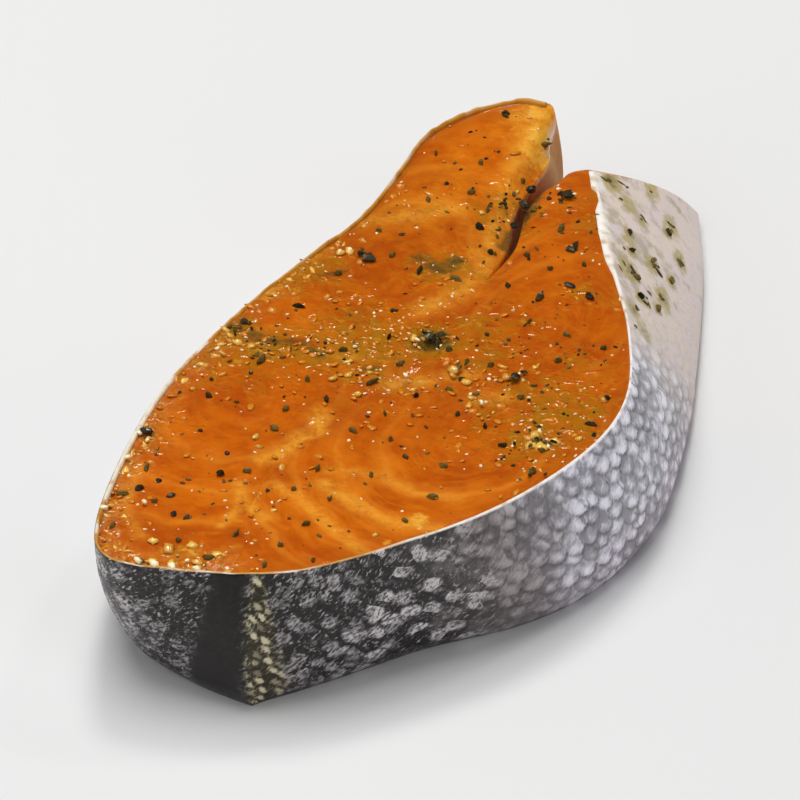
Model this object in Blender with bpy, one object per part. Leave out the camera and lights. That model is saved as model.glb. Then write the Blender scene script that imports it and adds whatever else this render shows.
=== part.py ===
# Raw Atlantic salmon steak in an oily herb marinade, lying on its lower cut face.
# It is one cross-cut of the fish: flesh inside a scaly skin, with the two belly flaps
# side by side at the far end and only a thin slit left of the belly cavity.
# +Y runs from the back of the fish to its belly, +X to its right flank, +Z up.
# The origin is on the surface it lies on, at the middle of the steak's box.

import math
import random

import bmesh
import bpy
import numpy as np
from mathutils import Matrix, Vector

MM = 0.001

# Driving sizes
STEAK_THICKNESS = 27.0 * MM
SKIN_THICKNESS = 1.0 * MM
SKIN_BULGE = 1.8 * MM  # how far the flank swells out at mid-height
LOWER_EDGE_ROUNDING = 1.5 * MM  # how far the skin turns in at its lower edge
SKIN_RIM_HEIGHT = 0.2 * MM  # the skin's cut edge stands this far above the cut
SHOULDER_DROP = 0.5 * MM  # the flesh sinks this far just inside the skin
FLAP_END_BULGE = 2.5 * MM  # how far each flap's cut end swells out at mid-height
FLAP_END_ROUNDING = 2.0 * MM  # how far the middle of that end stands out in plan
LEFT_FLAP_LIFT = 2.5 * MM
RIGHT_FLAP_DROP = 1.0 * MM
SLIT_ROUNDING = 1.2 * MM  # fall of the flesh where it turns down into the slit
LEFT_TIP_ROUNDING = 4.0 * MM  # the left flap's end curls over by this much more

# Cut outlines from the back ridge to the tip of each belly flap, as (x, y) in mm
# from the back ridge. The fish grows towards its head, so the lower cut is longer.
RIGHT = {
    "upper_skin": [(0, -0.3), (10, 5), (22, 18.5), (33.5, 36), (40.5, 57), (40.5, 75),
                   (33, 95), (21.3, 116), (13.5, 130.5), (6.5, 143)],
    "lower_skin": [(2.5, 0), (12, 11.5), (24, 28), (36.5, 41.5), (44, 57), (46, 76),
                   (43, 94), (38.5, 112), (33.5, 128), (28.5, 143), (22.5, 159), (15.5, 174)],
    "upper_slit": [(3.0, 102), (3.4, 114), (0.6, 126), (0.2, 137)],
    "lower_slit": [(3.0, 102), (5.5, 122), (6.5, 146), (4, 172)],
}
LEFT = {
    "upper_skin": [(0, -0.3), (-12, -3.6), (-22, -3.6), (-27.5, 5), (-32, 25.7), (-34.2, 48),
                   (-32.3, 73), (-28.5, 95), (-24.8, 112), (-24.6, 128), (-24.5, 140),
                   (-20, 149.5), (-13.5, 155.5), (-8, 156)],
    "lower_skin": [(2.5, 0), (-9, 2.6), (-18.5, 6.8), (-27.3, 15.2), (-33.5, 27.5), (-37, 46),
                   (-37, 70), (-35.5, 95), (-33.5, 118), (-31, 140), (-25, 157), (-14, 166)],
    "upper_slit": [(3.0, 102), (2.0, 114), (-1.6, 126), (-2.2, 138), (-3.6, 150)],
    "lower_slit": [(3.0, 102), (0.5, 122), (-2.5, 142), (-5.5, 161)],
}
UPPER_SEPTUM = [(-2, 9), (-6.3, 21), (-6.9, 42), (-2, 58), (2.8, 72), (2.6, 88), (3.0, 102)]
LOWER_SEPTUM = [(-1, 11), (-3, 24), (-3.5, 44), (-1, 60), (2, 74), (2.6, 88), (3.0, 102)]

# Relief of the cut flesh: muscle layers lie in nested ovals, one set on each side of the
# backbone for the back and one for the belly
BACK_MUSCLE_CENTRES = {+1: (20, 56), -1: (-19, 52)}  # mm
BELLY_MUSCLE_CENTRES = {+1: (19, 92), -1: (-15, 98)}  # mm
BACK_OVAL_STRETCH = (1.25, 0.85)  # across and along the steak
BELLY_OVAL_STRETCH = (1.35, 0.75)
LAYER_SPACING = 8.5 * MM
LAYER_DEPTH = 0.45 * MM
SEPTUM_DEPTH = 0.7 * MM
SEPTUM_WIDTH = 2.4 * MM
SHOULDER_WIDTH = 4.0 * MM
SWELL_HEIGHT = 0.5 * MM
SWELL_LENGTHS = (13 * MM, 21 * MM)  # of the slow undulation, across and along
BACKBONE_AT = (2.8, 67)  # mm
BACKBONE_RADIUS = 5.0 * MM
BACKBONE_DEPTH = 0.7 * MM

# Mesh counts
ROWS = 56  # from back ridge to flap tip
SLIT_ROW = 38  # where the slit opens
COLUMNS = 14  # from the septum to the skin
RINGS = 6  # up the flank
CURVE_STEPS = 24  # between two stations of an outline
TYPICAL_HALF_WIDTH = 38 * MM  # sets the width of the last column to that of the skin
END_ROWS_POWER = 24  # the bulge of a flap's end fades over about the last six rows
SKIN_COLUMN_POWER = 6  # the swell of the flank fades over the outer columns
WELD_DISTANCE = 0.02 * MM

# Herb flakes and cracked pepper, as (count, length, width, height in mm), largest first
TOPPINGS = [(16, 3.4, 1.7, 0.9), (26, 2.4, 1.4, 0.9), (34, 1.7, 1.3, 1.0)]
TOPPING_SPACING = 6.0 * MM
BELLY_SKIN_FLAKES = 8
BELLY_SKIN_FLAKE = (2.4, 1.4, 0.9)  # mm
BELLY_SKIN_SPACING = 4.2 * MM
BELLY_SKIN_ROWS = (43, 52)
BELLY_SKIN_RINGS = (3, 5)
TOPPING_SEED = 23
TOPPING_SINK = 0.25  # share of a flake's height below the flesh
UNEVENNESS = (0.85, 1.15)

# Finishes as (colour, roughness), in the order of the steak's material slots
FINISHES = {
    "marinated flesh": ((0.58, 0.13, 0.012), 0.3),
    "scaly skin": ((0.09, 0.08, 0.08), 0.4),
    "herbs": ((0.05, 0.05, 0.015), 0.6),
}
FLESH, SKIN = 0, 1


def smooth_curve(stations, count):
    """Points at even distances along a Catmull-Rom curve through stations in mm, in metres."""
    knots = np.array(stations, float) * MM
    ends = np.vstack([2 * knots[0] - knots[1], knots, 2 * knots[-1] - knots[-2]])
    t = np.linspace(0, 1, CURVE_STEPS, endpoint=False)[:, None]
    pieces = []
    for p0, p1, p2, p3 in zip(ends, ends[1:], ends[2:], ends[3:]):
        pieces.append(0.5 * (2 * p1 + (p2 - p0) * t
                             + (2 * p0 - 5 * p1 + 4 * p2 - p3) * t**2
                             + (3 * p1 - p0 - 3 * p2 + p3) * t**3))
    fine = np.vstack(pieces + [knots[-1:]])
    run = np.concatenate([[0], np.cumsum(np.linalg.norm(np.diff(fine, axis=0), axis=1))])
    at = np.linspace(0, run[-1], count)
    return np.column_stack([np.interp(at, run, fine[:, 0]), np.interp(at, run, fine[:, 1])])


def inner_edge(septum, slit):
    """The septum up to the end of the belly slit, then one wall of the slit."""
    body = smooth_curve(septum, SLIT_ROW + 1)
    flap = smooth_curve(slit, ROWS - SLIT_ROW + 1)
    return np.vstack([body, flap[1:]])


def column_shares():
    """0 at the septum to 1 at the outer skin. The last column is as wide as the skin."""
    skin_share = 1 - SKIN_THICKNESS / TYPICAL_HALF_WIDTH
    return np.append(np.linspace(0, skin_share, COLUMNS), 1.0)


def cut_plan(side, level):
    """Plan positions of one half of a cut face, by row and column."""
    form = RIGHT if side > 0 else LEFT
    septum = UPPER_SEPTUM if level == "upper" else LOWER_SEPTUM
    skin = smooth_curve(form[level + "_skin"], ROWS + 1)
    inner = inner_edge(septum, form[level + "_slit"])
    share = column_shares()[None, :, None]
    return inner[:, None, :] * (1 - share) + skin[:, None, :] * share


def outward_normals(plan):
    """Unit normals of the skin line in plan, away from the septum. Both halves share row 0."""
    along = np.gradient(plan[:, -1, :], axis=0)
    across = np.column_stack([along[:, 1], -along[:, 0]])
    across /= np.linalg.norm(across, axis=1)[:, None]
    inward = plan[:, 0, :] - plan[:, -1, :]
    wrong = np.sum(across * inward, axis=1) > 0
    across[wrong] *= -1
    across[0] = (0, -1)
    return across


def oval_distance(x, y, centre, stretch):
    """Distance from a muscle's centre, stretched so that equal distances form an oval."""
    return np.hypot((x - centre[0] * MM) * stretch[0], (y - centre[1] * MM) * stretch[1])


def muscle_layers(x, y, side):
    """Relief of the muscle layers: a shallow slope up to each oval of the nearer centre."""
    back = oval_distance(x, y, BACK_MUSCLE_CENTRES[side], BACK_OVAL_STRETCH)
    belly = oval_distance(x, y, BELLY_MUSCLE_CENTRES[side], BELLY_OVAL_STRETCH)
    oval = np.minimum(back, belly) / LAYER_SPACING
    rise = oval - np.floor(oval)
    return LAYER_DEPTH * (rise**2 - 0.5)


def backbone_relief(x, y):
    """A shallow dish with a low rim round it, where the backbone was sawn through."""
    away = oval_distance(x, y, BACKBONE_AT, (1, 1)) / BACKBONE_RADIUS
    dish = -BACKBONE_DEPTH * np.clip(1 - away**2, 0, 1)
    rim = 0.5 * BACKBONE_DEPTH * np.exp(-((away - 1.15) / 0.25) ** 2)
    return dish + rim


def cut_face_height(plan, side):
    """Height of the upper cut face by row and column."""
    x, y = plan[..., 0], plan[..., 1]
    share = column_shares()[None, :]
    half_width = np.linalg.norm(plan[:, -1] - plan[:, 0], axis=1)[:, None]
    row = np.arange(ROWS + 1)[:, None]
    flap = np.clip((row - SLIT_ROW) / (ROWS - SLIT_ROW), 0, 1)
    lift = LEFT_FLAP_LIFT if side < 0 else -RIGHT_FLAP_DROP
    near_inside = np.exp(-((share * half_width) / SEPTUM_WIDTH) ** 2)
    near_skin = np.exp(-(((1 - share) * half_width - SKIN_THICKNESS) / SHOULDER_WIDTH) ** 2)

    inside_fall = np.where(flap > 0, SLIT_ROUNDING, SEPTUM_DEPTH) * near_inside
    if side < 0:
        inside_fall = inside_fall + LEFT_TIP_ROUNDING * flap**2 * near_inside
    across, along = SWELL_LENGTHS
    swell = SWELL_HEIGHT * np.sin(x / across + 0.6) * np.cos(y / along)
    layers = muscle_layers(x, y, side) * (1 - near_inside) * (row > 0)
    flesh = layers + swell - SHOULDER_DROP * near_skin
    relief = np.where(share < 1, flesh, SKIN_RIM_HEIGHT) + backbone_relief(x, y)
    return STEAK_THICKNESS + lift * flap**2 + relief - inside_fall


def half_steak(side):
    """Vertices of one half by row, column and ring: a block bent round the septum."""
    upper, lower = cut_plan(side, "upper"), cut_plan(side, "lower")
    top = cut_face_height(upper, side)
    out = outward_normals(upper)
    share = column_shares()
    near_skin = share**SKIN_COLUMN_POWER
    near_end = np.linspace(0, 1, ROWS + 1)[:, None] ** END_ROWS_POWER
    points = np.zeros((ROWS + 1, COLUMNS + 1, RINGS + 1, 3))
    for ring, height in enumerate(np.linspace(0, 1, RINGS + 1)):
        arch = math.sin(math.pi * height)
        swell = SKIN_BULGE * arch if ring > 0 else -LOWER_EDGE_ROUNDING
        reach = FLAP_END_BULGE * arch + FLAP_END_ROUNDING * (1 - (2 * share - 1) ** 4)
        plan = lower * (1 - height) + upper * height
        plan = plan + (swell * out)[:, None, :] * near_skin[None, :, None]
        plan[..., 1] += reach[None, :] * near_end
        points[:, :, ring, :2] = plan
        points[:, :, ring, 2] = top * height
    return points


def add_grid(bm, vertices, material):
    """Quads over a 2-D array of vertices."""
    for upper_row, lower_row in zip(vertices, vertices[1:]):
        for corners in zip(upper_row, upper_row[1:], lower_row[1:], lower_row):
            face = bm.faces.new(corners)
            face.material_index = material


def steak_body():
    """The closed steak: both halves welded along the septum, over one flat lower face."""
    bm = bmesh.new()
    for side in (+1, -1):
        points = half_steak(side)
        on_surface = np.zeros(points.shape[:3], bool)
        on_surface[:, :, -1] = True
        on_surface[:, -1, :] = True
        on_surface[-1] = True
        on_surface[SLIT_ROW:, 0, :] = True
        verts = np.empty(points.shape[:3], object)
        for index in map(tuple, np.argwhere(on_surface)):
            verts[index] = bm.verts.new(points[index])
        add_grid(bm, verts[:, :, -1], FLESH)
        add_grid(bm, verts[:, -1, :], SKIN)
        add_grid(bm, verts[-1, :, :], FLESH)
        add_grid(bm, verts[SLIT_ROW:, 0, :], FLESH)
    bmesh.ops.remove_doubles(bm, verts=bm.verts, dist=WELD_DISTANCE)
    open_edges = [edge for edge in bm.edges if edge.is_boundary]
    base = bmesh.ops.holes_fill(bm, edges=open_edges, sides=0)
    for face in base["faces"]:
        face.material_index = FLESH
    bmesh.ops.recalc_face_normals(bm, faces=bm.faces)
    mesh = bpy.data.meshes.new("salmon_steak")
    bm.to_mesh(mesh)
    bm.free()
    return mesh


def box_centre():
    """Middle of the steak's plan, which the finished mesh is moved to the origin by."""
    points = np.concatenate([half_steak(side)[..., :2].reshape(-1, 2) for side in (+1, -1)])
    return (points.min(axis=0) + points.max(axis=0)) / 2


def cut_face_place(draw, points):
    """A seeded place on one half's upper cut face, with the direction a flake stands in."""
    row, column = draw.randint(1, ROWS - 2), draw.randint(1, COLUMNS - 2)
    return Vector(points[row, column, -1]), Vector((0, 0, 1))


def belly_skin_place(draw, points):
    """A seeded place on the right flap's slanting skin, with that skin's outward normal."""
    row, ring = draw.randint(*BELLY_SKIN_ROWS), draw.randint(*BELLY_SKIN_RINGS)
    here = Vector(points[row, -1, ring])
    along = Vector(points[row + 1, -1, ring]) - here
    up = Vector(points[row, -1, ring + 1]) - here
    outward = along.cross(up).normalized()
    return here, outward if outward.x > 0 else -outward


def spread_places(draw, place, halves, count, spacing):
    """Places drawn until count of them lie at least spacing apart."""
    chosen = []
    while len(chosen) < count:
        here, lean = place(draw, draw.choice(halves))
        if all((here - other).length > spacing for other, _ in chosen):
            chosen.append((here, lean))
    return chosen


def add_flake(size, place, draw, collection):
    """An uneven crumb of herb or pepper: an icosahedron pressed flat, turned and leant."""
    length, width, height = (v * MM * draw.uniform(*UNEVENNESS) for v in size)
    here, lean = place
    bpy.ops.mesh.primitive_ico_sphere_add(subdivisions=1, radius=0.5)
    flake = bpy.context.object
    for vertex in flake.data.vertices:
        vertex.co *= draw.uniform(*UNEVENNESS)
    turn = Matrix.Rotation(draw.uniform(0, 2 * math.pi), 4, "Z")
    tilt = lean.to_track_quat("Z", "Y").to_matrix().to_4x4()
    stretch = Matrix.Diagonal((length, width, height, 1.0))
    middle = Matrix.Translation(here + lean * height * (0.5 - TOPPING_SINK))
    flake.data.transform(middle @ tilt @ turn @ stretch)
    flake.data.materials.append(material_of("herbs"))
    for home in list(flake.users_collection):
        home.objects.unlink(flake)
    collection.objects.link(flake)


def fuse_toppings(steak):
    """Joins the herb flakes and pepper to the steak with one union on a collection."""
    draw = random.Random(TOPPING_SEED)
    flakes = bpy.data.collections.new("toppings")
    bpy.context.scene.collection.children.link(flakes)
    right, left = half_steak(+1), half_steak(-1)
    sizes = [row[1:] for row in TOPPINGS for _ in range(row[0])]
    places = spread_places(draw, cut_face_place, (right, left), len(sizes), TOPPING_SPACING)
    places += spread_places(draw, belly_skin_place, (right,), BELLY_SKIN_FLAKES, BELLY_SKIN_SPACING)
    sizes += [BELLY_SKIN_FLAKE] * BELLY_SKIN_FLAKES
    for size, place in zip(sizes, places):
        add_flake(size, place, draw, flakes)
    union = steak.modifiers.new("fuse toppings", "BOOLEAN")
    union.operation = "UNION"
    union.operand_type = "COLLECTION"
    union.collection = flakes
    union.solver = "MANIFOLD"
    bpy.context.view_layer.objects.active = steak
    bpy.ops.object.modifier_apply(modifier=union.name)
    for flake in list(flakes.objects):
        bpy.data.objects.remove(flake)
    bpy.data.collections.remove(flakes)


def material_of(name):
    """One Principled finish by name, made on first use."""
    found = bpy.data.materials.get(name)
    if found:
        return found
    colour, roughness = FINISHES[name]
    made = bpy.data.materials.new(name)
    made.use_nodes = True
    shader = made.node_tree.nodes["Principled BSDF"]
    shader.inputs["Base Color"].default_value = (*colour, 1.0)
    shader.inputs["Roughness"].default_value = roughness
    shader.inputs["Metallic"].default_value = 0.0
    return made


def main():
    for old in list(bpy.data.objects):
        bpy.data.objects.remove(old)
    home = bpy.data.collections.new("salmon_steak")
    bpy.context.scene.collection.children.link(home)
    steak = bpy.data.objects.new("salmon_steak", steak_body())
    home.objects.link(steak)
    for name in FINISHES:
        steak.data.materials.append(material_of(name))
    fuse_toppings(steak)
    middle = box_centre()
    steak.data.transform(Matrix.Translation((-middle[0], -middle[1], 0)))
    steak.data.shade_smooth()
    steak.data.set_sharp_from_angle(angle=math.radians(40))


main()
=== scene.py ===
import math
import random
from functools import partial

import bmesh
import bpy
import numpy as np
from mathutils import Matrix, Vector


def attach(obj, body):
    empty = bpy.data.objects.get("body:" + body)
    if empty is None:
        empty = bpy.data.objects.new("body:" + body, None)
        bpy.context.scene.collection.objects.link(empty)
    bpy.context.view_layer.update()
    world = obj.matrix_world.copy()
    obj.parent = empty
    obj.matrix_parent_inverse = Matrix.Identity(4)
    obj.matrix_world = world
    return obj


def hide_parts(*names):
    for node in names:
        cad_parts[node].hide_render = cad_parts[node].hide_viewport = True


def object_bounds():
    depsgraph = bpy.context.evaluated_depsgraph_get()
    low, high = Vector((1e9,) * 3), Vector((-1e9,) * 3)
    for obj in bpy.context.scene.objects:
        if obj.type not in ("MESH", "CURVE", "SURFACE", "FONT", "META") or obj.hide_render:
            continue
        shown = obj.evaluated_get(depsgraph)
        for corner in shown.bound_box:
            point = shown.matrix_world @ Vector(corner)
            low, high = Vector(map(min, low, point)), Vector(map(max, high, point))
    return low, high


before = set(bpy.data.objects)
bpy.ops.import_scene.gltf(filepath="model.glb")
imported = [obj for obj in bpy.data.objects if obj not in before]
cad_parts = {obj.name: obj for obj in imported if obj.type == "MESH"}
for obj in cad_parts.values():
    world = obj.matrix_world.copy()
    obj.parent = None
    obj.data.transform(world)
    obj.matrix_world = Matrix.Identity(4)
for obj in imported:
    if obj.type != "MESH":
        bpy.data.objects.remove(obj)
cadLow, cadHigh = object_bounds()
print("frame loaded")

# Every length below is in mm, measured from the ridge of the fish's back. The frame's
# origin is at the middle of the steak's plan, so each piece is shifted there at the end.
mm = 0.001
ridgeToOrigin = np.array([4.131182528, 85.473930667, 0.0])
boxMargin = 0.002       # mm that every piece stays inside the solid's box

# The steak's own form: outlines of the upper and lower cut from the ridge to each flap's tip
outlines = {
    "right": {
        "upperSkin": [(0, -0.3), (10, 5), (22, 18.5), (33.5, 36), (40.5, 57), (40.5, 75),
                      (33, 95), (21.3, 116), (13.5, 130.5), (6.5, 143)],
        "lowerSkin": [(2.5, 0), (12, 11.5), (24, 28), (36.5, 41.5), (44, 57), (46, 76),
                      (43, 94), (38.5, 112), (33.5, 128), (28.5, 143), (22.5, 159), (15.5, 174)],
        "upperSlit": [(3.0, 102), (3.4, 114), (0.6, 126), (0.2, 137)],
        "lowerSlit": [(3.0, 102), (5.5, 122), (6.5, 146), (4, 172)],
    },
    "left": {
        "upperSkin": [(0, -0.3), (-12, -3.6), (-22, -3.6), (-27.5, 5), (-32, 25.7), (-34.2, 48),
                      (-32.3, 73), (-28.5, 95), (-24.8, 112), (-24.6, 128), (-24.5, 140),
                      (-20, 149.5), (-13.5, 155.5), (-8, 156)],
        "lowerSkin": [(2.5, 0), (-9, 2.6), (-18.5, 6.8), (-27.3, 15.2), (-33.5, 27.5), (-37, 46),
                      (-37, 70), (-35.5, 95), (-33.5, 118), (-31, 140), (-25, 157), (-14, 166)],
        "upperSlit": [(3.0, 102), (2.0, 114), (-1.6, 126), (-2.2, 138), (-3.6, 150)],
        "lowerSlit": [(3.0, 102), (0.5, 122), (-2.5, 142), (-5.5, 161)],
    },
}
septumLine = {
    "upper": [(-2, 9), (-6.3, 21), (-6.9, 42), (-2, 58), (2.8, 72), (2.6, 88), (3.0, 102)],
    "lower": [(-1, 11), (-3, 24), (-3.5, 44), (-1, 60), (2, 74), (2.6, 88), (3.0, 102)],
}
muscleCentres = {"right": ((20, 56), (19, 92)), "left": ((-19, 52), (-15, 98))}
steak = {
    "thickness": 27.0,
    "rows": 56,             # rows of the solid from the ridge to a flap's tip
    "slitStart": 38 / 56,   # share of the way to the tip where the belly slit opens
    "flankSwell": 1.8,
    "lowerEdgeIn": 1.5,
    "flapLift": {"right": -1.0, "left": 2.5},
    "tipCurl": {"right": 0.0, "left": 4.0},
    "layerSpacing": 8.5,
    "layerDepth": 0.45,
    "backboneAt": (2.8, 67),
}


def alongCurve(stations, share):
    # Catmull-Rom curve through the stations, read at even shares of its length
    knots = np.array(stations, float)
    ends = np.vstack([2 * knots[0] - knots[1], knots, 2 * knots[-1] - knots[-2]])
    t = np.linspace(0, 1, 24, endpoint=False)[None, :, None]
    p0, p1, p2, p3 = (ends[k:len(ends) - 3 + k, None, :] for k in range(4))
    fine = 0.5 * (2 * p1 + (p2 - p0) * t + (2 * p0 - 5 * p1 + 4 * p2 - p3) * t**2
                  + (3 * p1 - p0 - 3 * p2 + p3) * t**3)
    fine = np.vstack([fine.reshape(-1, 2), knots[-1:]])
    run = np.concatenate([[0], np.cumsum(np.linalg.norm(np.diff(fine, axis=0), axis=1))])
    at = np.asarray(share) * run[-1]
    return np.stack([np.interp(at, run, fine[:, 0]), np.interp(at, run, fine[:, 1])], axis=-1)


def insideLine(side, level, along):
    # septum up to the slit, then the slit's own wall
    start = steak["slitStart"]
    body = alongCurve(septumLine[level], np.clip(along / start, 0, 1))
    flap = alongCurve(outlines[side][level + "Slit"], np.clip((along - start) / (1 - start), 0, 1))
    return np.where((along <= start)[..., None], body, flap)


def skinLine(side, level, along):
    # the skin's outline on the upper or lower cut
    return alongCurve(outlines[side][level + "Skin"], along)


def outwardDirection(side, along):
    # unit normal of the upper skin line, blended to straight back at the ridge
    rows = np.linspace(0, 1, steak["rows"] + 1)
    line = skinLine(side, "upper", rows)
    tangent = np.gradient(line, axis=0)
    across = np.stack([tangent[:, 1], -tangent[:, 0]], axis=-1)
    across /= np.linalg.norm(across, axis=1)[:, None]
    if side == "left":
        across = -across
    across[0] = (0, -1)
    read = [np.interp(along, rows, across[:, k]) for k in (0, 1)]
    direction = np.stack(read, axis=-1)
    return direction / np.linalg.norm(direction, axis=-1)[..., None]


def softNoise(x, y, z, size, seed):
    # value noise from -1 to 1: a seeded lattice, size mm apart, eased between its corners
    lattice = np.random.default_rng(seed).uniform(-1, 1, (64, 64, 16))
    cell = np.stack(np.broadcast_arrays(x, y, z), axis=-1) / size + 1000.0
    low = np.floor(cell).astype(int)
    part = cell - low
    part = part * part * (3 - 2 * part)
    total = np.zeros(part.shape[:-1])
    for dx, dy, dz in np.ndindex(2, 2, 2):
        weight = (np.where(dx, part[..., 0], 1 - part[..., 0])
                  * np.where(dy, part[..., 1], 1 - part[..., 1])
                  * np.where(dz, part[..., 2], 1 - part[..., 2]))
        total += weight * lattice[(low[..., 0] + dx) % 64, (low[..., 1] + dy) % 64,
                                  (low[..., 2] + dz) % 16]
    return total


def blot(x, y, places):
    # the highest of several soft round blots: exp of minus the squared distance in radii
    blots = [strength * np.exp(-((x - px) ** 2 + (y - py) ** 2) / radius**2)
             for px, py, radius, strength in places]
    return np.clip(np.max(blots, axis=0), 0, 1)


def strokes(x, y, lines):
    # the strongest of several soft strokes: exp of minus the squared distance to a path in widths
    best = np.zeros(np.shape(x))
    for path, width, strength in lines:
        near = np.full(np.shape(x), 1e9)
        for (x1, y1), (x2, y2) in zip(path, path[1:]):
            length = (x2 - x1) ** 2 + (y2 - y1) ** 2
            share = np.clip(((x - x1) * (x2 - x1) + (y - y1) * (y2 - y1)) / length, 0, 1)
            near = np.minimum(near, np.hypot(x - x1 - share * (x2 - x1), y - y1 - share * (y2 - y1)))
        best = np.maximum(best, strength * np.exp(-(near / (1.35 * width)) ** 2))
    return best


def muscleLayer(side, x, y):
    # oval distance to the nearer muscle centre, counted in layers
    back, belly = muscleCentres[side]
    fromBack = np.hypot((x - back[0]) * 1.25, (y - back[1]) * 0.85)
    fromBelly = np.hypot((x - belly[0]) * 1.35, (y - belly[1]) * 0.75)
    return np.minimum(fromBack, fromBelly) / steak["layerSpacing"]


def cutHeight(side, along, across, x, y, halfWidth):
    # height of the upper cut: thickness, flap lift, muscle steps, swell, less the falls at its edges
    row = along * steak["rows"]
    flap = np.clip((along - steak["slitStart"]) / (1 - steak["slitStart"]), 0, 1)
    nearInside = np.exp(-((across * halfWidth) / 2.4) ** 2)
    nearSkin = np.exp(-(((1 - across) * halfWidth - 1.0) / 4.0) ** 2)
    fall = 0.7 + 0.5 * np.clip(row - 38, 0, 1)
    curl = steak["tipCurl"][side] * flap**2 * np.exp(-((across * halfWidth) / 3.4) ** 2)
    rise = np.mod(muscleLayer(side, x, y), 1)
    cliff = np.clip((rise - 0.55) / 0.45, 0, 1)
    tooth = rise**2 * (1 - cliff * cliff * (3 - 2 * cliff))
    layers = steak["layerDepth"] * (tooth - 0.5) * (1 - nearInside) * np.clip(row, 0, 1)
    swell = 0.5 * np.sin(x / 13 + 0.6) * np.cos(y / 21)
    away = np.hypot(x - steak["backboneAt"][0], y - steak["backboneAt"][1]) / 5.0
    bone = -0.5 * np.clip(1 - away**2, 0, 1) + 0.2 * np.exp(-((away - 1.15) / 0.3) ** 2)
    inFlesh = np.clip((1 - across) * halfWidth / 1.0, 0, 1)
    relief = inFlesh * (layers + swell - 0.3 * nearSkin) + (1 - inFlesh) * 0.05 + bone
    lift = steak["flapLift"][side] * flap**2
    return steak["thickness"] + lift + relief - fall * nearInside - curl


def steakPoint(side, along, across, height, extraTop=0.0):
    # lower and upper plan blended by height, swelled at the flank, reached out at the flap's end
    upperIn, lowerIn = insideLine(side, "upper", along), insideLine(side, "lower", along)
    upperOut, lowerOut = skinLine(side, "upper", along), skinLine(side, "lower", along)
    halfWidth = np.linalg.norm(upperOut - upperIn, axis=-1)
    b = np.asarray(across)[..., None]
    h = np.asarray(height)[..., None]
    upper = upperIn * (1 - b) + upperOut * b
    lower = lowerIn * (1 - b) + lowerOut * b
    arch = np.sin(np.pi * height)
    lowShare = np.clip(height, 0, 1 / 6)
    foot = -steak["lowerEdgeIn"] + (steak["lowerEdgeIn"] + 0.9) * np.sin(np.pi * 3 * lowShare)
    swell = np.where(height < 1 / 6, foot, steak["flankSwell"] * arch) * across**6
    plan = lower * (1 - h) + upper * h + swell[..., None] * outwardDirection(side, along)
    reach = 2.5 * arch + 2.0 * (1 - (2 * across - 1) ** 4)
    plan[..., 1] += reach * along**24
    corner = np.clip((along - 0.955) / 0.045, 0, 1) ** 2 * np.exp(-(across * halfWidth / 2.2) ** 2)
    plan[..., 0] += np.where(side == "left", -1.6, 1.0) * corner
    top = cutHeight(side, along, across, upper[..., 0], upper[..., 1], halfWidth)
    z = (top + extraTop) * height
    return np.stack([plan[..., 0], plan[..., 1], z], axis=-1)


def upperPlan(side, along, across):
    # the upper cut in plan: inside line times 1 - across, plus skin line times across
    b = np.asarray(across)[..., None]
    return insideLine(side, "upper", along) * (1 - b) + skinLine(side, "upper", along) * b


def upperHalfWidth(side, along):
    # from the inside line to the skin line of the upper cut
    return np.linalg.norm(skinLine(side, "upper", along) - insideLine(side, "upper", along), axis=-1)


def meshPiece(name, points, faces, finish, attributes=None, weld=0.0, flat=False):
    # a mesh from whole arrays in mm, shifted to the frame and kept inside the solid's box
    low = np.array(cadLow) / mm + boxMargin
    high = np.array(cadHigh) / mm - boxMargin
    placed = np.clip(points - ridgeToOrigin, low, high) * mm
    mesh = bpy.data.meshes.new(name)
    mesh.from_pydata(placed, [], faces)
    for key, values in (attributes or {}).items():
        layer = mesh.attributes.new(key, "FLOAT", "POINT")
        layer.data.foreach_set("value", np.asarray(values, np.float32).ravel())
    bm = bmesh.new()
    bm.from_mesh(mesh)
    if weld:
        bmesh.ops.remove_doubles(bm, verts=bm.verts, dist=weld * mm)
    bmesh.ops.recalc_face_normals(bm, faces=bm.faces)
    bm.to_mesh(mesh)
    bm.free()
    if flat:
        mesh.shade_flat()
    else:
        mesh.shade_smooth()
    mesh.materials.append(finish)
    piece = bpy.data.objects.new(name, mesh)
    bpy.context.scene.collection.objects.link(piece)
    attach(piece, "root")
    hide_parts("salmon_steak")
    mesh.calc_loop_triangles()
    print(name, "done:", len(mesh.loop_triangles), "triangles")


def gridFaces(rows, columns, start=0, closed=False):
    # quads over a grid of rows by columns, whose columns may close into a loop
    r = np.arange(rows - 1)[:, None]
    c = np.arange(columns if closed else columns - 1)[None, :]
    nextColumn = (c + 1) % columns
    corners = [r * columns + c, r * columns + nextColumn,
               (r + 1) * columns + nextColumn, (r + 1) * columns + c]
    return np.stack(corners, axis=-1).reshape(-1, 4) + start


# Finishes: a node tree is written as sums of wires

class Wire:
    # the output of a node: each sum, difference or product of wires adds one Math node
    def __init__(self, socket):
        self.socket = socket
        self.tree = socket.id_data

    def __add__(self, other):
        return worked("ADD", self, other)

    def __sub__(self, other):
        return worked("SUBTRACT", self, other)

    def __rsub__(self, other):
        return worked("SUBTRACT", other, self)

    def __mul__(self, other):
        return worked("MULTIPLY", self, other)

    def __abs__(self):
        return worked("ABSOLUTE", self)

    def eased(self, low, high, fromLow=0.0, toHigh=1.0):
        # eased step of this value from low to high
        node = addNode(self.tree, "MapRange", {"Value": self, "From Min": low, "From Max": high,
                                               "To Min": fromLow, "To Max": toHigh},
                       interpolation_type="SMOOTHSTEP")
        return Wire(node.outputs["Result"])


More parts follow.
